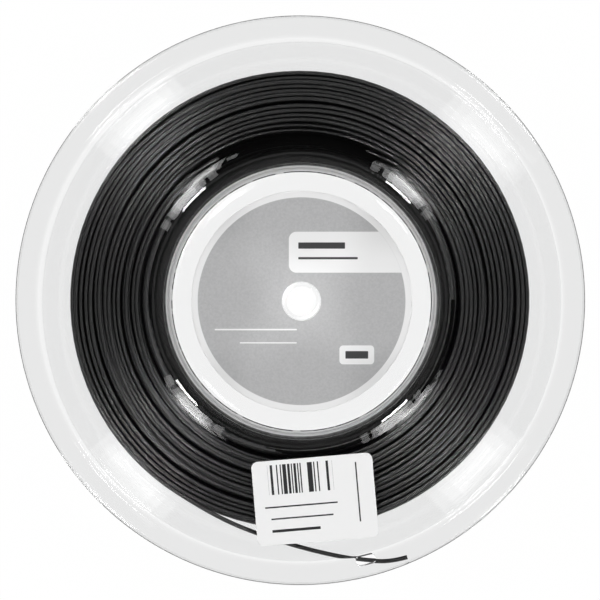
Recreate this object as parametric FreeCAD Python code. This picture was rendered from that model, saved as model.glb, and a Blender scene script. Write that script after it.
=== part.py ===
import FreeCAD, Part
import math
import os

Vector = FreeCAD.Vector
axis = Vector(0, 0, 1)

# A reel of racket string, lying on its rear flange. All sizes are in millimetres.
# The axis is +Z, and the open mouth of the drum faces +Z. The label on the flange lies towards -Y.

# Reel
flange_radius = 82.5
reel_width = 45.0

# Flanges: flat discs with a thicker band round the rim, raised on the outer side
flange_thickness = 1.8
band_width = 6.1
band_rise = 0.8
rim_outer_chamfer = 1.0
rim_inner_chamfer = 0.4

# Drum: an open cup, moulded with the front flange, that narrows slightly towards its foot
drum_mouth_radius = 42.2
drum_wall = 1.8
drum_draft = 0.25

# Shallow cone that leads from the front flange down into the drum's mouth
shoulder_width = 4.9
shoulder_depth = 1.2

# Rear moulding: locating ring that stands inside the drum's foot, and a boss round the bore
ring_wall = 0.7
ring_height = 11.7
ring_clearance = 0.1
bore_radius = 4.75
boss_radius = 6.0
boss_height = 1.2

# Slot in the front flange's rim band, where the end of the string is pulled out
slot_length = 6.0
slot_width = 2.6
slot_rim_distance = 4.9
slot_angle = -75.7

# String
string_diameter = 1.27
string_clearance = 0.3
pack_radius = 67.0

# Outer layer: every fourth turn of the real layer, in a four-sided section as wide and as high
# as the round string, flat on the layer beneath and narrower outside
turn_count = 8
turn_end_angle = -122.0
turn_top_share = 0.56

# Inner layers: under the front flange, where each of them ends, every fourth one shows as a ridge
ridge_count = 5

# Free end of the string: a six-sided tube through points chosen by hand, level with the last turn
tail_sides = 6
tail_points = [
    (-28.5, -60.5),
    (-18.0, -65.9),
    (-3.5, -70.9),
    (10.5, -74.4),
    (20.5, -75.8),
    (27.0, -75.8),
    (31.2, -74.6),
]
arc_share = 0.45

# Round paper label on the drum's floor
label_radius = 35.0
label_hole_clearance = 0.2
label_thickness = 0.2

# Paper sticker on the front flange. The gap is along the radius through its middle
sticker_length = 35.1
sticker_height = 24.4
sticker_corner_radius = 1.9
sticker_thickness = 0.12
sticker_band_gap = 6.3
sticker_angle = -85.6
sticker_tilt = 4.9

# Heights and distances that follow from the sizes above
rear_face = band_rise
rear_inner = rear_face + flange_thickness
front_face = reel_width - band_rise
front_inner = front_face - flange_thickness
band_inner_radius = flange_radius - band_width
slot_distance = flange_radius - slot_rim_distance
sticker_distance = band_inner_radius - sticker_band_gap - sticker_height / 2


def round_corner(before, corner, after, radius):
    # Start, middle and end of the arc that rounds the corner between two straight sides
    to_before = (before - corner).normalize()
    to_after = (after - corner).normalize()
    half_angle = to_before.getAngle(to_after) / 2
    reach = radius / math.tan(half_angle)
    towards_centre = (to_before + to_after).normalize()
    depth = radius / math.sin(half_angle) - radius
    return corner + to_before * reach, corner + towards_centre * depth, corner + to_after * reach


def turned(corners):
    # Solid turned about the axis from the (radius, height) corners of its section
    points = [Vector(radius, 0, height) for radius, height in corners]
    section = Part.Face(Part.makePolygon(points + [points[0]]))
    return section.revolve(Vector(0, 0, 0), axis, 360)


def at_angle(angle, distance, height):
    # Point at a distance from the axis, in the direction of an angle in degrees from +X
    direction = math.radians(angle)
    return Vector(distance * math.cos(direction), distance * math.sin(direction), height)


def drum_inner_radius(height):
    return drum_mouth_radius - (front_face - height) * math.tan(math.radians(drum_draft))


def drum_outer_radius(height):
    return drum_inner_radius(height) + drum_wall


def oblong_cutter(length, width, height):
    # Upright bar with round ends, centred on the origin and long in X
    straight = (length - width) / 2
    half = width / 2
    edges = [
        Part.LineSegment(Vector(-straight, -half, 0), Vector(straight, -half, 0)).toShape(),
        Part.Arc(Vector(straight, -half, 0), Vector(length / 2, 0, 0), Vector(straight, half, 0)).toShape(),
        Part.LineSegment(Vector(straight, half, 0), Vector(-straight, half, 0)).toShape(),
        Part.Arc(Vector(-straight, half, 0), Vector(-length / 2, 0, 0), Vector(-straight, -half, 0)).toShape(),
    ]
    return Part.Face(Part.Wire(edges)).extrude(Vector(0, 0, height))


def make_front_moulding():
    # Front flange and drum in one piece, with the slot for the string's end cut through the rim band
    moulding = turned([
        (drum_inner_radius(rear_inner), rear_inner),
        (drum_outer_radius(rear_inner), rear_inner),
        (drum_outer_radius(front_inner), front_inner),
        (flange_radius - rim_inner_chamfer, front_inner),
        (flange_radius, front_inner + rim_inner_chamfer),
        (flange_radius, reel_width - rim_outer_chamfer),
        (flange_radius - rim_outer_chamfer, reel_width),
        (band_inner_radius, reel_width),
        (band_inner_radius, front_face),
        (drum_mouth_radius + shoulder_width, front_face),
        (drum_inner_radius(front_face - shoulder_depth), front_face - shoulder_depth),
    ])
    slot = oblong_cutter(slot_length, slot_width, reel_width)
    slot.rotate(Vector(0, 0, 0), axis, slot_angle + 90)
    slot.translate(at_angle(slot_angle, slot_distance, reel_width / 2))
    return moulding.cut(slot)


def make_rear_moulding():
    # Rear flange with the drum's floor, the ring that centres the drum, and the bored boss
    ring_outer_radius = drum_inner_radius(rear_inner) - ring_clearance
    ring_inner_radius = ring_outer_radius - ring_wall
    return turned([
        (bore_radius, rear_face),
        (band_inner_radius, rear_face),
        (band_inner_radius, 0),
        (flange_radius - rim_outer_chamfer, 0),
        (flange_radius, rim_outer_chamfer),
        (flange_radius, rear_inner - rim_inner_chamfer),
        (flange_radius - rim_inner_chamfer, rear_inner),
        (ring_outer_radius, rear_inner),
        (ring_outer_radius, rear_inner + ring_height),
        (ring_inner_radius, rear_inner + ring_height),
        (ring_inner_radius, rear_inner),
        (boss_radius, rear_inner),
        (boss_radius, rear_inner + boss_height),
        (bore_radius, rear_inner + boss_height),
    ])


def make_string_core():
    # Inner layers of the string, filling the reel from the drum's wide end to the outer layer.
    # Their ends under the front flange are ridges as high as the string is thick
    low = rear_inner + string_clearance
    high = front_inner - string_clearance
    inner = drum_outer_radius(front_inner) + string_clearance
    outer = pack_radius - string_diameter - string_clearance
    half_ridge = (outer - inner) / ridge_count / 2
    corners = [(inner, low), (outer, low)]
    for i in range(ridge_count):
        ridge_edge = outer - 2 * half_ridge * i
        corners.append((ridge_edge, high - string_diameter))
        corners.append((ridge_edge - half_ridge, high))
    corners.append((inner, high - string_diameter))
    return turned(corners)


turn_radius = pack_radius - string_diameter / 2
first_height = rear_inner + string_clearance + string_diameter / 2
last_height = front_inner - string_clearance - string_diameter / 2
turn_pitch = (last_height - first_height) / turn_count


def turn_point(turn):
    return at_angle(turn_end_angle + 360 * turn, turn_radius, first_height + turn_pitch * turn)


def turn_direction(turn):
    angle = math.radians(turn_end_angle) + 2 * math.pi * turn
    along = 2 * math.pi * turn_radius
    return Vector(-along * math.sin(angle), along * math.cos(angle), turn_pitch).normalize()


def tangent_arc(start, corner, end):
    # Arc from start to end whose end tangents meet at the corner, which is as far from both
    middle = (start + end) * 0.5
    half_chord = (start - middle).Length
    height = (corner - middle).Length
    rise = half_chord * math.tan(math.atan2(height, half_chord) / 2)
    return Part.Arc(start, middle + (corner - middle) * (rise / height), end).toShape()


def biarc(start, start_direction, end, end_direction):
    # Two arcs that join smoothly and leave both ends in the given directions
    span = end - start
    both = start_direction + end_direction
    bend = 2 * (1 - start_direction.dot(end_direction))
    reach = (math.sqrt(span.dot(both) ** 2 + bend * span.dot(span)) - span.dot(both)) / bend
    first_corner = start + start_direction * reach
    second_corner = end - end_direction * reach
    joint = (first_corner + second_corner) * 0.5
    return [tangent_arc(start, first_corner, joint), tangent_arc(joint, second_corner, end)]


def least_gap(path):
    # Smallest space from points on the string to the stretches half a turn or more further on
    points_per_turn = 48
    points = path.discretize(Number=turn_count * points_per_turn)
    least = reel_width
    for i, point in enumerate(points):
        for j in range(i + points_per_turn // 2, len(points) - 1):
            least = min(least, point.distanceToLineSegment(points[j], points[j + 1]).Length)
    return least - string_diameter


def make_outer_turns():
    # Outer layer of the string, wound from the rear flange to the front one as one unbroken tube
    lead_in = turn_point(0) - turn_direction(0) * string_diameter
    lead_out = turn_point(turn_count) + turn_direction(turn_count) * string_diameter
    edges = [Part.LineSegment(lead_in, turn_point(0)).toShape()]
    for half_turn in range(2 * turn_count):
        start = half_turn / 2
        end = start + 0.5
        edges += biarc(turn_point(start), turn_direction(start), turn_point(end), turn_direction(end))
    edges.append(Part.LineSegment(turn_point(turn_count), lead_out).toShape())
    path = Part.Wire(edges)
    half = string_diameter / 2
    outwards = turn_point(0) - axis * first_height
    outwards.normalize()
    across = turn_direction(0).cross(outwards)
    corners = [
        lead_in - across * half - outwards * half,
        lead_in + across * half - outwards * half,
        lead_in + across * half * turn_top_share + outwards * half,
        lead_in - across * half * turn_top_share + outwards * half,
    ]
    section = Part.makePolygon(corners + [corners[0]])
    print("outer turns", turn_count, "pitch", round(turn_pitch, 3))
    print("least gap between turns", round(least_gap(path), 3))
    return path.makePipeShell([section], True, False), lead_out


def make_tail(start):
    # Free end of the string, lying against the inner side of the front flange under the slot
    points = [start] + [Vector(x, y, start.z) for x, y in tail_points]
    edges = []
    place = points[0]
    for i in range(1, len(points) - 1):
        shorter = min((points[i] - points[i - 1]).Length, (points[i + 1] - points[i]).Length)
        to_before = (points[i - 1] - points[i]).normalize()
        to_after = (points[i + 1] - points[i]).normalize()
        half_turn = (math.pi - to_before.getAngle(to_after)) / 2
        radius = arc_share * shorter / math.tan(half_turn)
        print("tail bend", i, "radius", round(radius, 1), "diameters", round(radius / string_diameter, 1))
        arc_start, arc_middle, arc_end = round_corner(points[i - 1], points[i], points[i + 1], radius)
        edges.append(Part.LineSegment(place, arc_start).toShape())
        edges.append(Part.Arc(arc_start, arc_middle, arc_end).toShape())
        place = arc_end
    edges.append(Part.LineSegment(place, points[-1]).toShape())
    path = Part.Wire(edges)
    circle = Part.Circle(points[0], points[1] - points[0], string_diameter / 2)
    corners = [circle.value(2 * math.pi * i / tail_sides) for i in range(tail_sides)]
    section = Part.makePolygon(corners + [corners[0]])
    tube = path.makePipeShell([section], True, False)
    expected = Part.Face(section).Area * path.Length
    print("tail length", round(path.Length, 2), "volume", round(tube.Volume, 3), "expected", round(expected, 3))
    return tube


def make_hub_label():
    # Round paper label on the floor of the drum, cut out round the boss
    top = rear_inner + label_thickness
    return turned([
        (boss_radius + label_hole_clearance, rear_inner),
        (label_radius, rear_inner),
        (label_radius, top),
        (boss_radius + label_hole_clearance, top),
    ])


def make_sticker():
    # Paper sticker with round corners, flat on the front flange and slightly turned
    half_length = sticker_length / 2
    half_height = sticker_height / 2
    corners = [
        Vector(-half_length, -half_height, 0),
        Vector(half_length, -half_height, 0),
        Vector(half_length, half_height, 0),
        Vector(-half_length, half_height, 0),
    ]
    rounded = []
    for i in range(4):
        rounded.append(round_corner(corners[i - 1], corners[i], corners[(i + 1) % 4], sticker_corner_radius))
    edges = []
    for i, (start, middle, end) in enumerate(rounded):
        edges.append(Part.Arc(start, middle, end).toShape())
        edges.append(Part.LineSegment(end, rounded[(i + 1) % 4][0]).toShape())
    sticker = Part.Face(Part.Wire(edges)).extrude(axis * sticker_thickness)
    sticker.rotate(Vector(0, 0, 0), axis, sticker_tilt)
    sticker.translate(at_angle(sticker_angle, sticker_distance, front_face))
    return sticker


outer_turns, tail_start = make_outer_turns()
nodes = {
    "front_flange_and_drum": make_front_moulding(),
    "rear_flange_and_floor": make_rear_moulding(),
    "string_core": make_string_core(),
    "string_outer_turns": outer_turns,
    "string_tail": make_tail(tail_start),
    "hub_label": make_hub_label(),
    "flange_sticker": make_sticker(),
}

os.makedirs("parts", exist_ok=True)
for name, shape in nodes.items():
    shape.exportStep("parts/" + name + ".step")
    print(name, "volume", round(shape.Volume, 1), "valid", shape.isValid(), "solids", len(shape.Solids))
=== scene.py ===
import math
import random

import bmesh
import bpy
from mathutils import Matrix, Vector


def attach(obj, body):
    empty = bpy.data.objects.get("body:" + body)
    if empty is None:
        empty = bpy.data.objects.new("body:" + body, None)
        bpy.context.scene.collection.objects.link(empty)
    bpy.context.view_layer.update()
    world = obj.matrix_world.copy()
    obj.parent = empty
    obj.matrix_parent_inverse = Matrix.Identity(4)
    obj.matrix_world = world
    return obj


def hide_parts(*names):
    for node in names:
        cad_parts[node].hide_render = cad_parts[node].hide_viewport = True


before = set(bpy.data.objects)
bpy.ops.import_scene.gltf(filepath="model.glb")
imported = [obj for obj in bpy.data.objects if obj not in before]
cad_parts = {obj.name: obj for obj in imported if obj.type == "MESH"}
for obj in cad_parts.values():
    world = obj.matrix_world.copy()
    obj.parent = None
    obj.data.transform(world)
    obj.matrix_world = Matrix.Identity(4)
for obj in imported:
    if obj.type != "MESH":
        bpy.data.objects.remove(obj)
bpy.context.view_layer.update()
print("frame loaded:", ", ".join(sorted(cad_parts)))

mm = 0.001
random.seed(27)

# The reel in millimetres. All its sizes but the lip's are those of the frame
reel = {
    "flangeRadius": 82.5,
    "width": 45.0,
    "bandInner": 76.4,
    "bandRise": 0.8,
    "flangeThickness": 1.8,
    "mouthRadius": 42.2,
    "drumWall": 1.8,
    "drumDraft": 0.25,
    "shoulderWidth": 4.9,
    "shoulderDepth": 1.2,
    "lipWidth": 0.75,
    "lipRise": 0.36,
    "boreRadius": 4.75,
    "string": 1.27,
    "stringGap": 0.3,
    "packRadius": 67.0,
    "segments": 360,
}
rearFace = reel["bandRise"]
rearInner = rearFace + reel["flangeThickness"]
frontFace = reel["width"] - reel["bandRise"]
frontInner = frontFace - reel["flangeThickness"]
stringRadius = reel["string"] / 2
turnRadius = reel["packRadius"] - stringRadius
topTurnHeight = frontInner - reel["stringGap"] - stringRadius


def drumInner(height):
    return reel["mouthRadius"] - (frontFace - height) * math.tan(math.radians(reel["drumDraft"]))


def drumOuter(height):
    return drumInner(height) + reel["drumWall"]


def polar(radius, angle, height=0.0):
    # Angle in degrees from +X, turning towards +Y
    turn = math.radians(angle)
    return Vector((radius * math.cos(turn), radius * math.sin(turn), height))


def addObject(name, data):
    piece = bpy.data.objects.new(name, data)
    bpy.context.scene.collection.objects.link(piece)
    return piece


# The camera looks straight down on the front flange
camera = {
    "place": Vector((6.7, -5.0, 485.0)),
    "aim": Vector((0.15, -0.1, 44.2)),
    "lens": 91.4,
    "sensor": 36.0,
    "nearest": 0.01,
}


def makeCamera():
    data = bpy.data.cameras.new("camera")
    data.lens = camera["lens"]
    data.sensor_width = camera["sensor"]
    data.clip_start = camera["nearest"]
    piece = addObject("camera", data)
    back = (camera["place"] - camera["aim"]).normalized()
    right = Vector((0, 1, 0)).cross(back).normalized()
    turn = Matrix((right, back.cross(right), back)).transposed().to_4x4()
    piece.matrix_world = Matrix.Translation(camera["place"] * mm) @ turn
    bpy.context.scene.camera = piece


makeCamera()


# Free end of the string, under the front flange, through points in millimetres
tail = {
    "leaveAngle": -122.0,
    "points": [
        (-28.5, -60.5),
        (-18.0, -65.9),
        (-3.5, -70.9),
        (10.5, -74.4),
        (20.5, -75.8),
        (27.0, -75.8),
        (31.2, -74.6),
    ],
    "length": 69.1,
    "stepsAlong": 16,
    "stepsRound": 5,
}


def makeTail():
    forward = polar(1, tail["leaveAngle"] + 90)
    start = polar(turnRadius, tail["leaveAngle"], topTurnHeight) + forward * reel["string"]
    route = [start] + [Vector((x, y, start.z)) for x, y in tail["points"]]
    data = bpy.data.curves.new("string_tail_line", "CURVE")
    data.dimensions = "3D"
    line = data.splines.new("NURBS")
    line.points.add(len(route) - 1)
    for point, place in zip(line.points, route):
        point.co = (*(place * mm), 1)
        point.radius = mm
    line.order_u = 3
    line.use_endpoint_u = True
    line.resolution_u = tail["stepsAlong"]
    data.bevel_depth = stringRadius
    data.bevel_resolution = tail["stepsRound"]
    data.use_fill_caps = True
    piece = addObject("stringTail", data)
    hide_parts("string_tail")
    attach(piece, "root")
    return piece


stringTail = makeTail()
print("camera and free end placed")


# Node helpers
def addNode(tree, kind, **settings):
    node = tree.nodes.new(kind)
    for key, value in settings.items():
        setattr(node, key, value)
    return node


def setInputs(node, **values):
    # Socket names with their spaces written as underscores
    for key, value in values.items():
        node.inputs[key.replace("_", " ")].default_value = value


def mathNode(tree, operation, *values, clamp=False):
    node = addNode(tree, "ShaderNodeMath", operation=operation, use_clamp=clamp)
    for socket, value in zip(node.inputs, values):
        if isinstance(value, (int, float)):
            socket.default_value = value
        else:
            tree.links.new(value, socket)
    return node.outputs[0]


def rangeNode(tree, value, low, high, toLow=0.0, toHigh=1.0):
    node = addNode(tree, "ShaderNodeMapRange", clamp=True)
    tree.links.new(value, node.inputs["Value"])
    setInputs(node, From_Min=low, From_Max=high, To_Min=toLow, To_Max=toHigh)
    return node.outputs["Result"]


def vectorNode(tree, operation, *vectors):
    node = addNode(tree, "ShaderNodeVectorMath", operation=operation)
    for socket, vector in zip(node.inputs, vectors):
        tree.links.new(vector, socket)
    return node


def lengthNode(tree, vector):
    return vectorNode(tree, "LENGTH", vector).outputs["Value"]


def noiseNode(tree, place, scale, detail):
    node = tree.nodes.new("ShaderNodeTexNoise")
    tree.links.new(place, node.inputs["Vector"])
    setInputs(node, Scale=scale, Detail=detail)
    return node.outputs["Fac"]


def bumpNode(tree, height, strength, distance, under=None):
    node = tree.nodes.new("ShaderNodeBump")
    setInputs(node, Strength=strength, Distance=distance)
    tree.links.new(height, node.inputs["Height"])
    if under is not None:
        tree.links.new(under, node.inputs["Normal"])
    return node.outputs["Normal"]


def blendColour(tree, mask, under, over):
    mix = addNode(tree, "ShaderNodeMix", data_type="RGBA")
    tree.links.new(mask, mix.inputs["Factor"])
    for socket, value in zip((mix.inputs[6], mix.inputs[7]), (under, over)):
        if isinstance(value, tuple):
            socket.default_value = (*value, 1)
        else:
            tree.links.new(value, socket)
    return mix.outputs[2]


def showMix(tree, output, share, first, second):
    # The first shader where the share is 0, the second where it is 1
    mix = tree.nodes.new("ShaderNodeMixShader")
    tree.links.new(share, mix.inputs[0])
    tree.links.new(first.outputs[0], mix.inputs[1])
    tree.links.new(second.outputs[0], mix.inputs[2])
    tree.links.new(mix.outputs[0], output.inputs["Surface"])


def newMaterial(name):
    material = bpy.data.materials.new(name)
    material.use_nodes = True
    tree = material.node_tree
    tree.nodes.clear()
    return material, tree, tree.nodes.new("ShaderNodeOutputMaterial")


def newSolid(name):
    material, tree, output = newMaterial(name)
    surface = tree.nodes.new("ShaderNodeBsdfPrincipled")
    tree.links.new(surface.outputs[0], output.inputs["Surface"])
    return material, tree, surface


def objectPlace(tree):
    return tree.nodes.new("ShaderNodeTexCoord").outputs["Object"]


def millimetrePlace(tree):
    # Object coordinates turned into millimetres
    scaled = vectorNode(tree, "SCALE", objectPlace(tree))
    setInputs(scaled, Scale=1 / mm)
    return scaled.outputs[0]


# Effects that several materials share
def newGroup(name, numbers, vectors, outputName):
    group = bpy.data.node_groups.new(name, "ShaderNodeTree")
    for labels, kind in ((vectors, "NodeSocketVector"), (numbers, "NodeSocketFloat")):
        for label in labels:
            group.interface.new_socket(name=label, in_out="INPUT", socket_type=kind)
    group.interface.new_socket(name=outputName, in_out="OUTPUT", socket_type="NodeSocketFloat")
    return group, group.nodes.new("NodeGroupInput"), group.nodes.new("NodeGroupOutput")


def placeGroup(tree, group, **values):
    node = tree.nodes.new("ShaderNodeGroup")
    node.node_tree = group
    setInputs(node, **values)
    return node


specks = {"core": 0.05, "edge": 0.16, "rougher": 0.3, "softScale": 90.0, "softDetail": 4.0}


def makeSpeckGroup():
    # Small uneven spots, such as dust or tiny pits, and a soft unevenness between them
    group, given, result = newGroup("fineSpecks", ["Scale", "Amount", "Base", "Spread"], [], "Roughness")
    links = group.links
    place = objectPlace(group)
    cells = group.nodes.new("ShaderNodeTexVoronoi")
    links.new(place, cells.inputs["Vector"])
    links.new(given.outputs["Scale"], cells.inputs["Scale"])
    near = rangeNode(group, cells.outputs["Distance"], specks["core"], specks["edge"], 1.0, 0.0)
    chosen = mathNode(group, "LESS_THAN", cells.outputs["Color"], given.outputs["Amount"])
    spot = mathNode(group, "MULTIPLY", near, chosen)
    soft = noiseNode(group, place, specks["softScale"], specks["softDetail"])
    uneven = mathNode(group, "SUBTRACT", soft, 0.5)
    uneven = mathNode(group, "MULTIPLY", uneven, given.outputs["Spread"])
    rough = mathNode(group, "ADD", given.outputs["Base"], uneven)
    spot = mathNode(group, "MULTIPLY", spot, specks["rougher"])
    links.new(mathNode(group, "ADD", rough, spot, clamp=True), result.inputs["Roughness"])
    return group


panelEdge = 0.03


def makePanelGroup():
    # Mask of a rectangle with round corners, in millimetres, in the plane across the axis
    group, given, result = newGroup("roundedPanel", ["Corner"], ["Place", "Middle", "Half Size"], "Mask")
    offset = vectorNode(group, "SUBTRACT", given.outputs["Place"], given.outputs["Middle"])
    mirrored = vectorNode(group, "ABSOLUTE", offset.outputs[0])
    beyond = vectorNode(group, "SUBTRACT", mirrored.outputs[0], given.outputs["Half Size"])
    parts = group.nodes.new("ShaderNodeSeparateXYZ")
    group.links.new(beyond.outputs[0], parts.inputs[0])
    squares = []
    for side in ("X", "Y"):
        past = mathNode(group, "ADD", parts.outputs[side], given.outputs["Corner"])
        past = mathNode(group, "MAXIMUM", past, 0.0)
        squares.append(mathNode(group, "MULTIPLY", past, past))
    reach = mathNode(group, "SQRT", mathNode(group, "ADD", *squares))
    edge = mathNode(group, "SUBTRACT", reach, given.outputs["Corner"])
    group.links.new(rangeNode(group, edge, -panelEdge, panelEdge, 1.0, 0.0), result.inputs["Mask"])
    return group


speckGroup = makeSpeckGroup()
panelGroup = makePanelGroup()


def addSpecks(tree, surface, **values):
    node = placeGroup(tree, speckGroup, **values)
    tree.links.new(node.outputs["Roughness"], surface.inputs["Roughness"])


def panelMask(tree, place, panel):
    node = placeGroup(tree, panelGroup, Corner=panel["corner"])
    tree.links.new(place, node.inputs["Place"])
    setInputs(node, Middle=(*panel["middle"], 0), Half_Size=(*panel["half"], 0))
    return node.outputs["Mask"]


def passShadows(tree, surface, output, tint):
    # Light goes straight through clear plastic on its way to the pieces behind it
    path = tree.nodes.new("ShaderNodeLightPath")
    straight = mathNode(tree, "MAXIMUM", path.outputs["Is Shadow Ray"], path.outputs["Is Diffuse Ray"])
    # and on its way from a glossy piece, but not inside the plastic, where the depth is odd
    inside = mathNode(tree, "MODULO", path.outputs["Transmission Depth"], 2.0)
    mirrored = mathNode(tree, "SUBTRACT", path.outputs["Is Reflection Ray"], inside, clamp=True)
    straight = mathNode(tree, "MAXIMUM", straight, mirrored)
    clear = tree.nodes.new("ShaderNodeBsdfTransparent")
    setInputs(clear, Color=(tint, tint, tint, 1))
    showMix(tree, output, straight, surface, clear)


clearFinish = {
    "colour": (0.965, 0.967, 0.967),
    "bandColour": (0.875, 0.877, 0.877),
    "rearColour": (0.955, 0.957, 0.957),
    "bandBlur": 0.3,
    "ior": 1.5,
    "shadowTint": 0.95,
    "specks": {"Scale": 420.0, "Amount": 0.06},
    "waves": {"scale": 0.038, "detail": 1.5, "strength": 0.12, "depth": 0.0004},
    "streaks": {"across": 1.3, "round": 7.0, "detail": 3.0, "depth": 0.002},
}


def makeClearPlastic(name, rough, spread, rear=False, haze=None, alpha=1.0):
    material, tree, output = newMaterial(name)
    surface = tree.nodes.new("ShaderNodeBsdfPrincipled")
    setInputs(surface, IOR=clearFinish["ior"], Transmission_Weight=1.0, Alpha=alpha)
    addSpecks(tree, surface, Base=rough, Spread=spread, **clearFinish["specks"])
    place = millimetrePlace(tree)
    parts = tree.nodes.new("ShaderNodeSeparateXYZ")
    tree.links.new(place, parts.inputs[0])
    if haze:
        # A little haze on the drum's wall, fading towards the mouth: painted shade, darker near the mouth
        # and lighter towards the floor
        shown = rangeNode(tree, parts.outputs["Z"], haze["low"], haze["high"], haze["most"], haze["least"])
        tree.links.new(shown, surface.inputs["Alpha"])
    flat = tree.nodes.new("ShaderNodeCombineXYZ")
    for side in ("X", "Y"):
        tree.links.new(parts.outputs[side], flat.inputs[side])
    radius = lengthNode(tree, flat.outputs[0])
    if rear:
        setInputs(surface, Base_Color=(*clearFinish["rearColour"], 1))
    else:
        # The raised band round the rim is thicker, so it looks greyer
        blur = clearFinish["bandBlur"]
        band = rangeNode(tree, radius, reel["bandInner"] - blur, reel["bandInner"] + blur)
        colour = blendColour(tree, band, clearFinish["colour"], clearFinish["bandColour"])
        tree.links.new(colour, surface.inputs["Base Color"])
    # Slow waves and fine turned streaks that the mould leaves in the faces
    waves = clearFinish["waves"]
    wavy = noiseNode(tree, place, waves["scale"], waves["detail"])
    wavy = bumpNode(tree, wavy, waves["strength"], waves["depth"])
    streaks = clearFinish["streaks"]
    angle = mathNode(tree, "ARCTAN2", parts.outputs["Y"], parts.outputs["X"])
    unrolled = tree.nodes.new("ShaderNodeCombineXYZ")
    tree.links.new(mathNode(tree, "MULTIPLY", radius, streaks["across"]), unrolled.inputs["X"])
    tree.links.new(mathNode(tree, "MULTIPLY", angle, streaks["round"]), unrolled.inputs["Y"])
    streaked = noiseNode(tree, unrolled.outputs[0], 1.0, streaks["detail"])
    normal = bumpNode(tree, streaked, 1.0, streaks["depth"] * mm, under=wavy)
    tree.links.new(normal, surface.inputs["Normal"])
    passShadows(tree, surface, output, clearFinish["shadowTint"])
    return material


# Where the drum is cemented to the rear flange: a joint with painted shade, dark outside and in dashes,
# paler and uneven towards the inside
cementAndShade = {
    "dark": (0.03, 0.03, 0.03),
    "pale": (0.5, 0.5, 0.5),
    "shadeDashes": (0.02, 0.02, 0.02),
    "inner": 42.1,
    "outer": 43.6,
    "footEdge": 41.95,
    "dashScale": 0.35,
    "dashDetail": 4.0,
    "gaps": (0.52, 0.6),
    "uneven": 1.6,
    "specks": {"Scale": 2000.0, "Amount": 0.3, "Base": 0.5, "Spread": 0.2},
}


def makeCementAndShade():
    material, tree, surface = newSolid("cementAndShadeLine")
    place = millimetrePlace(tree)
    dashes = noiseNode(tree, place, cementAndShade["dashScale"], cementAndShade["dashDetail"])
    gaps = rangeNode(tree, dashes, *cementAndShade["gaps"])
    # Painted shade: dark dashes along the ring's foot
    shadeDashes = blendColour(tree, gaps, cementAndShade["shadeDashes"], cementAndShade["pale"])
    uneven = mathNode(tree, "MULTIPLY", mathNode(tree, "SUBTRACT", dashes, 0.5), cementAndShade["uneven"])
    distance = lengthNode(tree, place)
    depth = mathNode(tree, "ADD", distance, uneven)
    depth = rangeNode(tree, depth, cementAndShade["inner"], cementAndShade["outer"])
    # Painted shade: darker further out under the drum's foot
    foot = blendColour(tree, depth, cementAndShade["pale"], cementAndShade["dark"])
    underDrum = mathNode(tree, "GREATER_THAN", distance, cementAndShade["footEdge"])
    tree.links.new(blendColour(tree, underDrum, shadeDashes, foot), surface.inputs["Base Color"])
    addSpecks(tree, surface, **cementAndShade["specks"])
    return material


stringFinish = {
    "colour": (0.0012, 0.0012, 0.0013),
    "edge": (0.0032, 0.0032, 0.0034),
    "roughness": 0.3,
    "ior": 1.75,
    "specular": 0.65,
}
# Darker, duller copy of the string's finish: painted shade for string that lies deep in the winding
paintedShadeFinish = {
    "colour": (0.0008, 0.0008, 0.0008),
    "edge": (0.0014, 0.0014, 0.0014),
    "roughness": 0.6,
    "ior": 1.5,
    "specular": 0.04,
}
stringStreaks = {"scale": 260.0, "detail": 3.0, "strength": 0.15, "depth": 0.00005}
stringSpecks = {"Scale": 900.0, "Amount": 0.05, "Spread": 0.03}


def makeBlackString(name, finish):
    material, tree, surface = newSolid(name)
    setInputs(surface, IOR=finish["ior"], Specular_IOR_Level=finish["specular"])
    streaks = noiseNode(tree, objectPlace(tree), stringStreaks["scale"], stringStreaks["detail"])
    colour = blendColour(tree, streaks, finish["colour"], finish["edge"])
    tree.links.new(colour, surface.inputs["Base Color"])
    addSpecks(tree, surface, Base=finish["roughness"], **stringSpecks)
    normal = bumpNode(tree, streaks, stringStreaks["strength"], stringStreaks["depth"])
    tree.links.new(normal, surface.inputs["Normal"])
    return material


paper = {
    "ior": 1.45,
    "fibreScale": 2200.0,
    "fibreDetail": 5.0,
    "fibreDepth": 0.00003,
    "specks": {"Scale": 1500.0, "Amount": 0.2, "Spread": 0.1},
}


def finishPaper(tree, surface, colour, roughness, fibre):
    setInputs(surface, IOR=paper["ior"])
    tree.links.new(colour, surface.inputs["Base Color"])
    addSpecks(tree, surface, Base=roughness, **paper["specks"])
    fibres = noiseNode(tree, objectPlace(tree), paper["fibreScale"], paper["fibreDetail"])
    tree.links.new(bumpNode(tree, fibres, fibre, paper["fibreDepth"]), surface.inputs["Normal"])


# Round label in the hub: a grey disc with a white rim, two white panels and a few rules
hubLabel = {
    "radius": 35.0,
    "hole": 6.2,
    "lift": 0.03,
    "thickness": 0.2,
    "discRadius": 33.0,
    "discBlur": 0.08,
    "grey": (0.435, 0.435, 0.44),
    "white": (0.86, 0.86, 0.86),
    "dark": (0.05, 0.05, 0.052),
    "mottle": {"scale": 1.6, "detail": 6.0, "from": 0.35, "to": 0.65, "most": 0.12},
    "roughness": 0.42,
    "fibre": 0.08,
    "whiteParts": [
        {"middle": (16.0, 15.5), "half": (20.0, 6.5), "corner": 2.4},
        {"middle": (17.5, -17.0), "half": (5.5, 3.0), "corner": 1.2},
        {"middle": (-14.5, -9.0), "half": (13.0, 0.25), "corner": 0.1},
        {"middle": (-10.5, -13.2), "half": (9.0, 0.2), "corner": 0.1},
    ],
    "darkRules": [
        {"middle": (6.4, 17.6), "half": (7.4, 1.0), "corner": 0.2},
        {"middle": (8.4, 13.6), "half": (9.4, 0.35), "corner": 0.1},
        {"middle": (17.5, -17.0), "half": (3.6, 1.2), "corner": 0.2},
    ],
}


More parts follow.
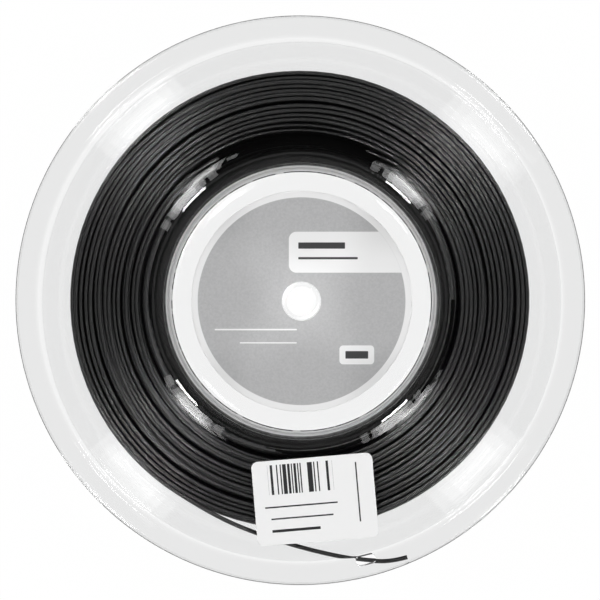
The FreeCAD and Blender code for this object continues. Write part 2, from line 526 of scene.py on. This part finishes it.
def makeLabelPaper():
    material, tree, surface = newSolid("labelPaper")
    place = millimetrePlace(tree)
    edge = hubLabel["discRadius"]
    blur = hubLabel["discBlur"]
    inside = rangeNode(tree, lengthNode(tree, place), edge - blur, edge + blur, 1.0, 0.0)
    mottle = hubLabel["mottle"]
    dots = noiseNode(tree, place, mottle["scale"], mottle["detail"])
    dots = rangeNode(tree, dots, mottle["from"], mottle["to"], 0.0, mottle["most"])
    grey = blendColour(tree, dots, hubLabel["grey"], hubLabel["white"])
    colour = blendColour(tree, inside, hubLabel["white"], grey)
    for panel in hubLabel["whiteParts"]:
        mask = mathNode(tree, "MULTIPLY", panelMask(tree, place, panel), inside)
        colour = blendColour(tree, mask, colour, hubLabel["white"])
    for rule in hubLabel["darkRules"]:
        colour = blendColour(tree, panelMask(tree, place, rule), colour, hubLabel["dark"])
    finishPaper(tree, surface, colour, hubLabel["roughness"], hubLabel["fibre"])
    return material


# White sticker on the front flange, with plain stripes and ruled lines
sticker = {
    "length": 35.1,
    "height": 24.4,
    "corner": 1.9,
    "cornerSteps": 8,
    "lift": 0.01,
    "edge": 0.09,
    "thickness": 0.12,
    "inset": 0.05,
    "distance": 57.9,
    "angle": -85.6,
    "tilt": 4.9,
    "white": (0.87, 0.87, 0.87),
    "ink": (0.012, 0.012, 0.013),
    "roughness": 0.55,
    "fibre": 0.1,
    "stripes": {"middle": (-3.6, 6.6), "half": (9.4, 4.3), "corner": 0.04, "width": 0.36, "share": 0.46},
    "rules": [
        {"middle": (-4.0, -1.3), "half": (10.5, 0.22), "corner": 0.04},
        {"middle": (-4.0, -4.7), "half": (9.0, 0.22), "corner": 0.04},
        {"middle": (-6.0, -8.2), "half": (7.0, 0.4), "corner": 0.04},
        {"middle": (12.6, 1.2), "half": (0.2, 8.6), "corner": 0.04},
    ],
}


def makeStickerPaper():
    material, tree, surface = newSolid("stickerPaper")
    turned = addNode(tree, "ShaderNodeMapping", vector_type="TEXTURE")
    middle = polar(sticker["distance"], sticker["angle"])
    setInputs(turned, Location=middle, Rotation=(0, 0, math.radians(sticker["tilt"])))
    tree.links.new(millimetrePlace(tree), turned.inputs["Vector"])
    local = turned.outputs[0]
    parts = tree.nodes.new("ShaderNodeSeparateXYZ")
    tree.links.new(local, parts.inputs[0])
    stripes = sticker["stripes"]
    column = mathNode(tree, "FLOOR", mathNode(tree, "DIVIDE", parts.outputs["X"], stripes["width"]))
    chance = addNode(tree, "ShaderNodeTexWhiteNoise", noise_dimensions="1D")
    tree.links.new(column, chance.inputs["W"])
    bars = mathNode(tree, "LESS_THAN", chance.outputs["Value"], stripes["share"])
    mask = mathNode(tree, "MULTIPLY", bars, panelMask(tree, local, stripes))
    colour = blendColour(tree, mask, sticker["white"], sticker["ink"])
    for rule in sticker["rules"]:
        colour = blendColour(tree, panelMask(tree, local, rule), colour, sticker["ink"])
    finishPaper(tree, surface, colour, sticker["roughness"], sticker["fibre"])
    return material


# Back of the label and the sticker, seen through the clear plastic
paperBack = {
    "dark": (0.8, 0.8, 0.79),
    "light": (0.84, 0.84, 0.83),
    "scale": 0.8,
    "detail": 4.0,
    "roughness": 0.6,
    "fibre": 0.1,
}


def makePlainPaper():
    material, tree, surface = newSolid("plainPaper")
    mottle = noiseNode(tree, millimetrePlace(tree), paperBack["scale"], paperBack["detail"])
    colour = blendColour(tree, mottle, paperBack["dark"], paperBack["light"])
    finishPaper(tree, surface, colour, paperBack["roughness"], paperBack["fibre"])
    return material


# Haze by height on the drum's wall: painted shade near the mouth
drumHazeShade = {"low": 34.0, "high": 39.5, "most": 0.06, "least": 0.001}
clearPlastic = makeClearPlastic("clearPlastic", rough=0.012, spread=0.02)
rearPlastic = makeClearPlastic("rearPlastic", rough=0.012, spread=0.02, rear=True)
drumPlastic = makeClearPlastic("drumPlastic", rough=0.3, spread=0.1, haze=drumHazeShade)
drumBack = makeClearPlastic("drumBack", rough=0.3, spread=0.1, alpha=0.001)
edgePlastic = makeClearPlastic("edgePlastic", rough=0.5, spread=0.1, rear=True)
blackString = makeBlackString("blackString", stringFinish)
paintedShadeString = makeBlackString("paintedShadeString", paintedShadeFinish)
cementAndShadeLine = makeCementAndShade()
labelPaper = makeLabelPaper()
stickerPaper = makeStickerPaper()
plainPaper = makePlainPaper()
stringTail.data.materials.append(blackString)
print("materials made")


# Turned pieces
def newMesh(name, vertices, faces):
    mesh = bpy.data.meshes.new(name)
    mesh.from_pydata(vertices, [], faces)
    return mesh


# Long straights get a point near each end, which keeps the shading of the flats flat
support = {"straight": 1.5, "distance": 0.2}


def roundedOutline(corners, stepsPerQuarter=6):
    # Closed section through (radius, height, rounding) corners, every corner rounded
    outline = []
    for i, (radius, height, rounding) in enumerate(corners):
        corner = Vector((radius, height))
        toBefore = (Vector(corners[i - 1][:2]) - corner).normalized()
        toAfter = (Vector(corners[(i + 1) % len(corners)][:2]) - corner).normalized()
        halfAngle = toBefore.angle(toAfter) / 2
        middle = corner + (toBefore + toAfter).normalized() * (rounding / math.sin(halfAngle))
        first = corner + toBefore * (rounding / math.tan(halfAngle)) - middle
        last = corner + toAfter * (rounding / math.tan(halfAngle)) - middle
        begin = math.atan2(first.y, first.x)
        sweep = (math.atan2(last.y, last.x) - begin + math.pi) % (2 * math.pi) - math.pi
        steps = max(2, math.ceil(stepsPerQuarter * abs(sweep) / (math.pi / 2)))
        for step in range(steps + 1):
            angle = begin + sweep * step / steps
            outline.append(middle + Vector((math.cos(angle), math.sin(angle))) * rounding)
    held = []
    for i, point in enumerate(outline):
        run = outline[(i + 1) % len(outline)] - point
        inwards = run.normalized() * support["distance"]
        held.append(point)
        if run.length > support["straight"]:
            held += [point + inwards, point + run - inwards]
    return held


def turnedMesh(name, outline, segments, kindOf=None):
    # The section turned round the axis, with the material slot that kindOf gives for each line's middle
    vertices = []
    for point in outline:
        vertices += [polar(point.x, 360 * j / segments, point.y) * mm for j in range(segments)]
    faces = []
    kinds = []
    count = len(outline)
    for i in range(count):
        after = (i + 1) % count
        middle = (outline[i] + outline[after]) / 2
        kind = kindOf(middle.x, middle.y) if kindOf else 0
        for j in range(segments):
            k = (j + 1) % segments
            faces.append((i * segments + j, i * segments + k, after * segments + k, after * segments + j))
            kinds.append(kind)
    mesh = newMesh(name, vertices, faces)
    mesh.polygons.foreach_set("material_index", kinds)
    mesh.polygons.foreach_set("use_smooth", [True] * len(faces))
    mesh.update()
    faceOutwards(mesh)
    return mesh


def faceOutwards(mesh):
    work = bmesh.new()
    work.from_mesh(mesh)
    bmesh.ops.recalc_face_normals(work, faces=work.faces)
    work.to_mesh(mesh)
    work.free()


def addMaterials(mesh, *materials):
    for material in materials:
        mesh.materials.append(material)


def keepFlatsFlat(piece):
    # Normals follow the large faces, so that flats stay flat and roundings shade smoothly
    weighted = piece.modifiers.new("weighted", "WEIGHTED_NORMAL")
    weighted.keep_sharp = True


slot = {
    "length": 6.0,
    "width": 2.6,
    "distance": 77.6,
    "angle": -75.7,
    "steps": 16,
    "reach": 2.0,
    "crispAngle": 40.0,
}


def makeSlotCutter():
    half = slot["width"] / 2
    straight = Vector(((slot["length"] - slot["width"]) / 2, 0, 0))
    steps = slot["steps"]
    ring = [straight + polar(half, -90 + 180 * i / steps) for i in range(steps + 1)]
    ring += [polar(half, 90 + 180 * i / steps) - straight for i in range(steps + 1)]
    spin = Matrix.Rotation(math.radians(slot["angle"] + 90), 3, "Z")
    middle = polar(slot["distance"], slot["angle"])
    vertices = []
    for height in (frontInner - slot["reach"], reel["width"] + slot["reach"]):
        vertices += [(spin @ point + middle + Vector((0, 0, height))) * mm for point in ring]
    n = len(ring)
    faces = [list(range(n))[::-1], list(range(n, 2 * n))]
    faces += [(i, (i + 1) % n, n + (i + 1) % n, n + i) for i in range(n)]
    return addObject("slotCutter", newMesh("slotCutter", vertices, faces))


def cutSlot(piece):
    cutter = makeSlotCutter()
    cut = piece.modifiers.new("slot", "BOOLEAN")
    cut.operation = "DIFFERENCE"
    cut.solver = "EXACT"
    cut.object = cutter
    bpy.context.view_layer.update()
    whole = bpy.data.meshes.new_from_object(piece.evaluated_get(bpy.context.evaluated_depsgraph_get()))
    piece.modifiers.clear()
    piece.data = whole
    bpy.data.objects.remove(cutter)
    # Crisp edges round the slot
    crisp = math.radians(slot["crispAngle"])
    work = bmesh.new()
    work.from_mesh(whole)
    for edge in work.edges:
        if len(edge.link_faces) == 2 and edge.calc_face_angle() > crisp:
            edge.smooth = False
    work.to_mesh(whole)
    work.free()


# Front moulding: its roundings, and how far each material reaches
front = {
    "footLift": 0.05,
    "footRoundings": (0.1, 0.08),
    "rootRounding": 0.5,
    "rimRoundings": (0.9, 1.2),
    "bandRamp": (0.5, -0.4),
    "bandRounding": 0.7,
    "shoulderRounding": 14.0,
    "lipRounding": 0.5,
    "mouthRounding": 0.15,
    "cementShadeHeight": 0.4,
    "wallMargin": 0.01,
    "rootMargin": 0.1,
    "rootReach": 0.6,
}


def makeFrontMoulding():
    mouth = reel["mouthRadius"]
    shoulderFoot = frontFace - reel["shoulderDepth"]
    corners = [
        (drumInner(rearInner), rearInner + front["footLift"], front["footRoundings"][0]),
        (drumOuter(rearInner), rearInner + front["footLift"], front["footRoundings"][1]),
        (drumOuter(frontInner), frontInner, front["rootRounding"]),
        (reel["flangeRadius"], frontInner, front["rimRoundings"][0]),
        (reel["flangeRadius"], reel["width"], front["rimRoundings"][1]),
        (reel["bandInner"] + front["bandRamp"][0], reel["width"], front["bandRounding"]),
        (reel["bandInner"] + front["bandRamp"][1], frontFace, front["bandRounding"]),
        (mouth + reel["shoulderWidth"], frontFace, front["shoulderRounding"]),
        (mouth + reel["lipWidth"], shoulderFoot + reel["lipRise"], front["lipRounding"]),
        (drumInner(shoulderFoot), shoulderFoot, front["mouthRounding"]),
    ]
    backFrom = drumOuter(rearInner) - front["rootMargin"]
    backTo = drumOuter(frontInner) + front["rootReach"]

    def kindOf(radius, height):
        # 0 flange, 1 drum's wall inside, 2 its cemented foot with painted shade, 3 its outside with the
        # root under the flange
        if height < rearInner + front["cementShadeHeight"]:
            return 2
        if radius < mouth + front["wallMargin"] and height < shoulderFoot:
            return 1
        if height < frontInner + front["rootMargin"] and backFrom < radius < backTo:
            return 3
        return 0

    mesh = turnedMesh("front_moulding", roundedOutline(corners), reel["segments"], kindOf)
    addMaterials(mesh, clearPlastic, drumPlastic, cementAndShadeLine, drumBack)
    piece = addObject("frontMoulding", mesh)
    cutSlot(piece)
    keepFlatsFlat(piece)
    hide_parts("front_flange_and_drum")
    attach(piece, "root")


# Rear moulding: the locating ring and the boss, and the roundings
rear = {
    "wall": 0.7,
    "height": 11.7,
    "clearance": 0.1,
    "bossRadius": 6.0,
    "bossHeight": 1.2,
    "boreRounding": 0.2,
    "bandRamp": (-0.6, 0.9),
    "bandRounding": 1.2,
    "rimInnerRounding": 0.9,
    "ringRoundings": (0.25, 0.2, 0.2, 0.3),
    "bossRoundings": (0.2, 0.25, 0.25),
    "shadeLineSize": 0.3,
    "ringMargin": 0.5,
    "ringFoot": 1.0,
}


def makeRearMoulding():
    ringOuter = drumInner(rearInner) - rear["clearance"]
    ringInner = ringOuter - rear["wall"]
    ringTop = rearInner + rear["height"]
    bossTop = rearInner + rear["bossHeight"]
    corners = [
        (reel["boreRadius"], rearFace, rear["boreRounding"]),
        (reel["bandInner"] + rear["bandRamp"][0], rearFace, rear["bandRounding"]),
        (reel["bandInner"] + rear["bandRamp"][1], 0, rear["bandRounding"]),
        (reel["flangeRadius"], 0, rear["bandRounding"]),
        (reel["flangeRadius"], rearInner, rear["rimInnerRounding"]),
        (ringOuter, rearInner, rear["ringRoundings"][0]),
        (ringOuter, ringTop, rear["ringRoundings"][1]),
        (ringInner, ringTop, rear["ringRoundings"][2]),
        (ringInner, rearInner, rear["ringRoundings"][3]),
        (rear["bossRadius"], rearInner, rear["bossRoundings"][0]),
        (rear["bossRadius"], bossTop, rear["bossRoundings"][1]),
        (reel["boreRadius"], bossTop, rear["bossRoundings"][2]),
    ]
    ringFrom = ringInner - rear["ringMargin"]
    ringTo = ringOuter + rear["ringMargin"]

    def kindOf(radius, height):
        # 0 flange and floor, 1 the locating ring, 2 a thin line of cement and painted shade inside its foot
        if 0 < height - rearInner < rear["shadeLineSize"] and 0 < ringInner - radius < rear["shadeLineSize"]:
            return 2
        return int(ringFrom <= radius <= ringTo and height >= rearInner + rear["ringFoot"])

    mesh = turnedMesh("rear_moulding", roundedOutline(corners), reel["segments"], kindOf)
    addMaterials(mesh, rearPlastic, edgePlastic, cementAndShadeLine)
    piece = addObject("rearMoulding", mesh)
    keepFlatsFlat(piece)
    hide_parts("rear_flange_and_floor")
    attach(piece, "root")


makeFrontMoulding()
makeRearMoulding()
print("clear mouldings made")


# Wound string
strand = {"sides": 8, "stepDegrees": 4.0, "faceGap": 0.12, "drumGap": 0.1}


def addTube(vertices, faces, centres, angles):
    # Round string through centres given as (radius, height) at each angle round the axis
    start = len(vertices)
    sides = strand["sides"]
    for (distance, height), angle in zip(centres, angles):
        outward = polar(1, angle)
        for k in range(sides):
            turn = 2 * math.pi * k / sides
            spot = outward * (distance + stringRadius * math.cos(turn))
            vertices.append((spot + Vector((0, 0, height + stringRadius * math.sin(turn)))) * mm)
    rings = len(angles)
    for i in range(rings - 1):
        for k in range(sides):
            m = (k + 1) % sides
            a = start + i * sides
            faces.append((a + k, a + sides + k, a + sides + m, a + m))
    faces.append([start + k for k in range(sides)])
    faces.append([start + (rings - 1) * sides + k for k in range(sides)][::-1])


def addWinding(name, vertices, faces, material):
    mesh = newMesh(name, vertices, faces)
    mesh.polygons.foreach_set("use_smooth", [len(face) == 4 for face in faces])
    mesh.materials.append(material)
    mesh.update()
    faceOutwards(mesh)
    piece = addObject(name, mesh)
    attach(piece, "root")
    return piece


# Small wander of a string: waves that go round the reel so many times, each with a random share
waveShape = {"orders": (1, 2, 3, 5, 8), "share": (0.2, 1.0)}


def randomWaves():
    waves = []
    for order in waveShape["orders"]:
        phase = random.uniform(0, 2 * math.pi)
        waves.append((order, phase, random.uniform(*waveShape["share"]) / order))
    return waves


def waviness(waves, angle, amount):
    turn = math.radians(angle)
    return amount * sum(share * math.sin(order * turn + phase) for order, phase, share in waves)


# Outer layer, wound from the rear flange to the front one as one unbroken string
outerLayer = {"turns": 30, "lastPart": 0.5, "wander": 0.16, "sink": 0.18, "shift": 0.05, "settleTurns": 0.6}


def makeOuterLayer():
    vertices, faces = [], []
    turns = outerLayer["turns"]
    wander = outerLayer["wander"]
    low = rearInner + strand["faceGap"] + stringRadius
    waves = [randomWaves() for _ in range(turns + 2)]
    lead = math.degrees(reel["string"] / turnRadius)
    total = 360 * (turns - outerLayer["lastPart"])
    count = round(total / strand["stepDegrees"])
    angles, centres = [], []
    for i in range(count + 1):
        turned = total * i / count
        share = turned / total
        # Near its end the string comes up to the radius at which the free end leaves
        settle = min(1.0, (1 - share) * turns / outerLayer["settleTurns"])
        index = int(turned // 360)
        mixShare = (turned % 360) / 360
        wobble = waviness(waves[index], turned, wander) * (1 - mixShare)
        wobble += waviness(waves[index + 1], turned, wander) * mixShare
        distance = turnRadius - outerLayer["sink"] * settle + (wobble - outerLayer["shift"]) * settle
        angles.append(tail["leaveAngle"] - total + turned)
        centres.append((distance, low + (topTurnHeight - low) * share))
    angles.append(tail["leaveAngle"] + lead)
    centres.append((turnRadius, topTurnHeight))
    addTube(vertices, faces, centres, angles)
    piece = addWinding("outerTurns", vertices, faces, blackString)
    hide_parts("string_outer_turns")


# First layer, on the drum
innerLayer = {"turns": 30, "endGap": 0.9, "wander": 0.03}


def makeInnerLayer():
    vertices, faces = [], []
    low = rearInner + innerLayer["endGap"]
    high = frontInner - innerLayer["endGap"]
    total = 360 * innerLayer["turns"]
    count = round(total / strand["stepDegrees"])
    angles = [total * i / count for i in range(count + 1)]
    waves = randomWaves()
    centres = []
    for i, angle in enumerate(angles):
        height = low + (high - low) * i / count
        distance = drumOuter(height) + strand["drumGap"] + stringRadius
        centres.append((distance + waviness(waves, angle, innerLayer["wander"]), height))
    addTube(vertices, faces, centres, angles)
    # The first layer gets the darker copy of the string's finish, as painted shade
    addWinding("innerTurns", vertices, faces, paintedShadeString)


# Turns beside the flanges: each string comes up in one lane and goes down in the next
faceLayers = {
    "lanes": 16,
    "wander": 0.34,
    "depths": (0.0, 0.15, 0.35, 0.6, 0.9),
    "depthsByDrum": (0.0, 0.4, 1.4, 2.6),
    "drumReach": 10.0,
    "outerGap": 1.0,
    "turnsDeep": 3,
    "turnsOnTop": 0.45,
    "pitch": 1.31,
    "sinking": 0.5,
    "crossingWidth": (0.06, 0.3),
}
# By the drum, the turns lie deeper on one side, where the winding began
dip = {"depth": 12.0, "reach": 52.0, "edge": 5.0, "angle": 93.0, "halfWidth": 38.0}


def dipNearDrum(distance, angle):
    nearDrum = min(1.0, max(0.0, (dip["reach"] - distance) / dip["edge"]))
    away = (angle - dip["angle"] + 180) % 360 - 180
    window = max(0.0, math.cos(math.radians(min(90, abs(away) * 90 / dip["halfWidth"]))))
    return dip["depth"] * nearDrum * math.sqrt(window)


def makeFaceLayers(name, atFront):
    vertices, faces = [], []
    first = drumOuter(frontInner) + strand["drumGap"] + stringRadius
    gap = (turnRadius - first) / faceLayers["lanes"]
    top = stringRadius + strand["faceGap"]
    half = faceLayers["turnsDeep"]
    count = round(2 * half * 360 / strand["stepDegrees"])
    for lane in range(0, faceLayers["lanes"] - 1, 2):
        waves = randomWaves()
        start = first + gap * lane
        crossing = random.uniform(0, 360)
        width = random.uniform(*faceLayers["crossingWidth"])
        sinking = randomWaves()
        depths = []
        for radius in (start, start + gap):
            nearDrum = 1 - min(1.0, (radius - first) / faceLayers["drumReach"])
            depth = random.choice(faceLayers["depths"])
            depths.append(depth + nearDrum * random.choice(faceLayers["depthsByDrum"]))
        angles, centres = [], []
        for i in range(count + 1):
            turned = 2 * half * i / count - half
            angle = crossing + 360 * turned
            blend = 0.5 + 0.5 * math.tanh(turned / width)
            distance = start + gap * blend + waviness(waves, angle, faceLayers["wander"])
            distance = max(first, min(distance, turnRadius - faceLayers["outerGap"]))
            rise = top + depths[0] + (depths[1] - depths[0]) * blend
            rise += max(0.0, waviness(sinking, angle, faceLayers["sinking"]))
            rise += faceLayers["pitch"] * max(0.0, abs(turned) - faceLayers["turnsOnTop"])
            rise += dipNearDrum(distance, angle)
            angles.append(angle)
            centres.append((distance, frontInner - rise if atFront else rearInner + rise))
        addTube(vertices, faces, centres, angles)
    addWinding(name, vertices, faces, blackString)


# Plain inner mass of the string, out of sight under the turns that show
core = {
    "footGap": 0.05,
    "footLift": 0.04,
    "footHeight": 0.8,
    "footRoundings": (0.02, 0.05),
    "wallGap": 0.6,
    "step": 0.2,
    "rearDepth": 3.4,
    "frontDepth": 7.0,
    "outerGap": 0.5,
    "innerRounding": 0.1,
    "outerRounding": 0.4,
    "segments": 180,
    "stepsPerQuarter": 3,
}


def makeCore():
    drum = drumOuter(rearInner)
    foot = drum + core["footGap"]
    inner = drum + core["wallGap"]
    outer = turnRadius - core["outerGap"]
    low = rearInner + core["rearDepth"]
    high = frontInner - core["frontDepth"]
    footLow = rearInner + core["footLift"]
    footHigh = rearInner + core["footHeight"]
    corners = [
        (foot, footLow, core["footRoundings"][0]),
        (inner + core["step"], footLow, core["footRoundings"][0]),
        (inner + core["step"], low, core["innerRounding"]),
        (outer, low, core["outerRounding"]),
        (outer, high, core["outerRounding"]),
        (inner, high, core["innerRounding"]),
        (inner, footHigh, core["footRoundings"][1]),
        (foot, footHigh, core["footRoundings"][1]),
    ]
    mesh = turnedMesh("winding_core", roundedOutline(corners, core["stepsPerQuarter"]), core["segments"])
    # The core gets the darker copy of the string's finish, as painted shade in the gaps
    addMaterials(mesh, paintedShadeString)
    piece = addObject("windingCore", mesh)
    keepFlatsFlat(piece)
    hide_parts("string_core")
    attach(piece, "root")


makeOuterLayer()
makeInnerLayer()
makeFaceLayers("frontTurns", atFront=True)
makeFaceLayers("rearTurns", atFront=False)
makeCore()
print("string wound")


# Paper pieces
labelShape = {"roundings": (0.03, 0.05), "margin": 0.0075, "segments": 240, "stepsPerQuarter": 3}


def makeHubLabel():
    low = rearInner + hubLabel["lift"]
    high = rearInner + hubLabel["thickness"]
    corners = [
        (hubLabel["hole"], low, labelShape["roundings"][0]),
        (hubLabel["radius"], low, labelShape["roundings"][0]),
        (hubLabel["radius"], high, labelShape["roundings"][1]),
        (hubLabel["hole"], high, labelShape["roundings"][1]),
    ]

    def kindOf(radius, height):
        # 1 for the underside
        return int(height < low + labelShape["margin"])

    outline = roundedOutline(corners, labelShape["stepsPerQuarter"])
    mesh = turnedMesh("hub_label_paper", outline, labelShape["segments"], kindOf)
    addMaterials(mesh, labelPaper, plainPaper)
    piece = addObject("hubLabel", mesh)
    keepFlatsFlat(piece)
    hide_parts("hub_label")
    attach(piece, "root")


def makeSticker():
    # A thin sheet with round corners that lies on the flange
    halfLength = sticker["length"] / 2
    middles = Vector((halfLength - sticker["corner"], sticker["height"] / 2 - sticker["corner"], 0))
    steps = sticker["cornerSteps"]
    corners = []
    for quarter, (x, y) in enumerate(((1, 1), (-1, 1), (-1, -1), (1, -1))):
        middle = Vector((x * middles.x, y * middles.y, 0))
        corners += [middle + polar(sticker["corner"], 90 * (quarter + i / steps)) for i in range(steps + 1)]
    spin = Matrix.Rotation(math.radians(sticker["tilt"]), 3, "Z")
    place = polar(sticker["distance"], sticker["angle"], frontFace)
    levels = ((0.0, sticker["lift"]), (0.0, sticker["edge"]), (sticker["inset"], sticker["thickness"]))
    vertices = []
    for inset, height in levels:
        shrink = 1 - inset / halfLength
        vertices += [(spin @ (corner * shrink) + place + Vector((0, 0, height))) * mm for corner in corners]
    n = len(corners)
    faces = [list(range(n))[::-1], list(range(2 * n, 3 * n))]
    for level in range(len(levels) - 1):
        for i in range(n):
            a = level * n + i
            b = level * n + (i + 1) % n
            faces.append((a, b, b + n, a + n))
    mesh = newMesh("sticker_paper", vertices, faces)
    addMaterials(mesh, stickerPaper, plainPaper)
    mesh.polygons[0].material_index = 1
    faceOutwards(mesh)
    piece = addObject("flangeSticker", mesh)
    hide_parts("flange_sticker")
    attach(piece, "root")


makeHubLabel()
makeSticker()
print("label and sticker made")


# Floor and room. The room's level changes with the angle from roomAxis, given as (cosine, level)
studio = {
    "floorSize": 6.0,
    "floorDrop": 0.0003,
    "floorGlow": 0.99,
    "floorPaint": (0.9, 0.9, 0.9, 1),
    "room": [(0.0, 0.5), (1.0, 0.004), (0.3, 0.3), (0.45, 0.14), (0.6, 0.5), (0.74, 0.5), (0.82, 0.04)],
    "roomAxis": (-6.7, 5.0, 440.0),
}


def makeFloor():
    half = studio["floorSize"] / 2
    corners = [(x * half, y * half, -studio["floorDrop"]) for x, y in ((-1, -1), (1, -1), (1, 1), (-1, 1))]
    mesh = newMesh("floor", corners, [(0, 1, 2, 3)])
    material, tree, output = newMaterial("whiteFloor")
    paint = tree.nodes.new("ShaderNodeBsdfDiffuse")
    setInputs(paint, Color=studio["floorPaint"])
    # White light of strength 1, which the camera, gloss and clear plastic see in place of the paint
    glow = tree.nodes.new("ShaderNodeEmission")
    path = tree.nodes.new("ShaderNodeLightPath")
    seen = mathNode(tree, "MAXIMUM", path.outputs["Is Camera Ray"], path.outputs["Is Glossy Ray"])
    seen = mathNode(tree, "MAXIMUM", seen, path.outputs["Is Transmission Ray"])
    showMix(tree, output, mathNode(tree, "MULTIPLY", seen, studio["floorGlow"]), paint, glow)
    addMaterials(mesh, material)
    addObject("floor", mesh)


def makeWorld():
    world = bpy.data.worlds.new("studio")
    bpy.context.scene.world = world
    world.use_nodes = True
    tree = world.node_tree
    tree.nodes.clear()
    output = tree.nodes.new("ShaderNodeOutputWorld")
    place = tree.nodes.new("ShaderNodeTexCoord")
    rise = vectorNode(tree, "DOT_PRODUCT", place.outputs["Generated"])
    rise.inputs[1].default_value = Vector(studio["roomAxis"]).normalized()
    ramp = tree.nodes.new("ShaderNodeValToRGB")
    tree.links.new(rise.outputs["Value"], ramp.inputs["Fac"])
    stops = ramp.color_ramp.elements
    for i, (height, level) in enumerate(studio["room"]):
        # A new ramp has two stops
        stop = stops[i] if i < 2 else stops.new(height)
        stop.position = height
        stop.color = (level, level, level, 1)
    room = tree.nodes.new("ShaderNodeBackground")
    tree.links.new(ramp.outputs["Color"], room.inputs["Color"])
    white = tree.nodes.new("ShaderNodeBackground")
    path = tree.nodes.new("ShaderNodeLightPath")
    seen = mathNode(tree, "MAXIMUM", path.outputs["Is Camera Ray"], path.outputs["Is Transmission Ray"])
    # Only on a straight look through the plastic, so the string mirrors the dim room
    bounces = mathNode(tree, "ADD", path.outputs["Glossy Depth"], path.outputs["Diffuse Depth"])
    seen = mathNode(tree, "MULTIPLY", seen, mathNode(tree, "LESS_THAN", bounces, 0.5))
    showMix(tree, output, seen, room, white)


# Lamps, in millimetres and degrees. Radiance is what a mirror image of the lamp would show
lamps = {
    "softbox": {
        "angles": (-44, -134, -229, -319),
        "radius": 900,
        "height": 950,
        "size": (200, 200),
        "radiance": 23.5,
    },
    "shoulderStrip": {
        "angles": (-52, -135, -222, -313),
        "distance": 3000,
        "size": (216, 220),
        "radiance": 9.0,
    },
    "shoulderEnds": {"apart": 13.0, "size": (52, 170), "radiance": 2.0},
    "flangeGlow": {
        "angles": (-44, -133.5, -229, -319),
        "seen": 71.5,
        "distance": 1000,
        "size": (76, 24),
        "radiance": 1.2,
    },
    "softEnds": {"sizes": (0.7, 1.0, 1.3), "apart": 4.0},
    "hubSpot": {"height": 1500, "size": 5, "cone": 3.3, "blend": 0.1, "level": 0.48},
}


def mirroredPlace(radius, angle, tilt, distance):
    # Where a lamp has to stand for the camera to see it in the flange at that radius and angle;
    # the surface there leans inwards by tilt degrees
    spot = polar(radius, angle, frontFace)
    lean = math.radians(tilt)
    normal = -polar(1, angle) * math.sin(lean) + Vector((0, 0, math.cos(lean)))
    ray = (spot - camera["place"]).normalized()
    away = ray - normal * (2 * ray.dot(normal))
    return spot + away * distance, spot


def addLamp(name, place, target, size, radiance):
    data = bpy.data.lights.new(name, "AREA")
    data.shape = "RECTANGLE"
    data.size = size[0] * mm
    data.size_y = size[1] * mm
    data.energy = 4 * radiance * data.size * data.size_y
    lamp = addObject(name, data)
    lamp.location = place * mm
    lamp.rotation_euler = (target - place).to_track_quat("-Z", "Y").to_euler()
    lamp.visible_camera = False


def addSoftLamp(name, place, target, size, radiance):
    # Panels of several sizes, one behind the other, so that the mirror image has soft ends
    sizes = lamps["softEnds"]["sizes"]
    back = (place - target).normalized() * lamps["softEnds"]["apart"]
    for i, share in enumerate(sizes):
        panel = (size[0] * share, size[1] * share)
        addLamp("%s_%d" % (name, i), place + back * i, target, panel, radiance / len(sizes))


def makeLamps():
    centre = Vector((0, 0, frontFace))
    box = lamps["softbox"]
    for i, angle in enumerate(box["angles"]):
        place = polar(box["radius"], angle, box["height"])
        addLamp("softbox%d" % i, place, centre, box["size"], box["radiance"])
    strip = lamps["shoulderStrip"]
    ends = lamps["shoulderEnds"]
    seen = reel["mouthRadius"] + reel["shoulderWidth"] / 2
    rise = (reel["shoulderDepth"] - reel["lipRise"]) / (reel["shoulderWidth"] - reel["lipWidth"])
    tilt = math.degrees(math.atan(rise))
    for i, angle in enumerate(strip["angles"]):
        place, spot = mirroredPlace(seen, angle, tilt, strip["distance"])
        addSoftLamp("shoulderStrip%d" % i, place, spot, strip["size"], strip["radiance"])
        for side in (-1, 1):
            place, spot = mirroredPlace(seen, angle + side * ends["apart"], tilt, strip["distance"])
            addLamp("shoulderEnd%d_%d" % (i, side), place, spot, ends["size"], ends["radiance"])
    glow = lamps["flangeGlow"]
    for i, angle in enumerate(glow["angles"]):
        place, spot = mirroredPlace(glow["seen"], angle, 0, glow["distance"])
        addSoftLamp("flangeGlow%d" % i, place, spot, glow["size"], glow["radiance"])


def makeHubSpot():
    # Narrow light into the open hub, for the label
    hub = lamps["hubSpot"]
    height = hub["height"] * mm
    data = bpy.data.lights.new("hubSpot", "SPOT")
    data.energy = hub["level"] * 4 * math.pi ** 2 * height ** 2
    data.spot_size = math.radians(hub["cone"])
    data.spot_blend = hub["blend"]
    data.shadow_soft_size = hub["size"] * mm
    spot = addObject("hubSpot", data)
    spot.location = (0, 0, height)
    spot.visible_camera = False
    spot.visible_glossy = False


makeFloor()
makeWorld()
makeLamps()
makeHubSpot()
bpy.context.scene.view_settings.view_transform = "Standard"
print("studio made")
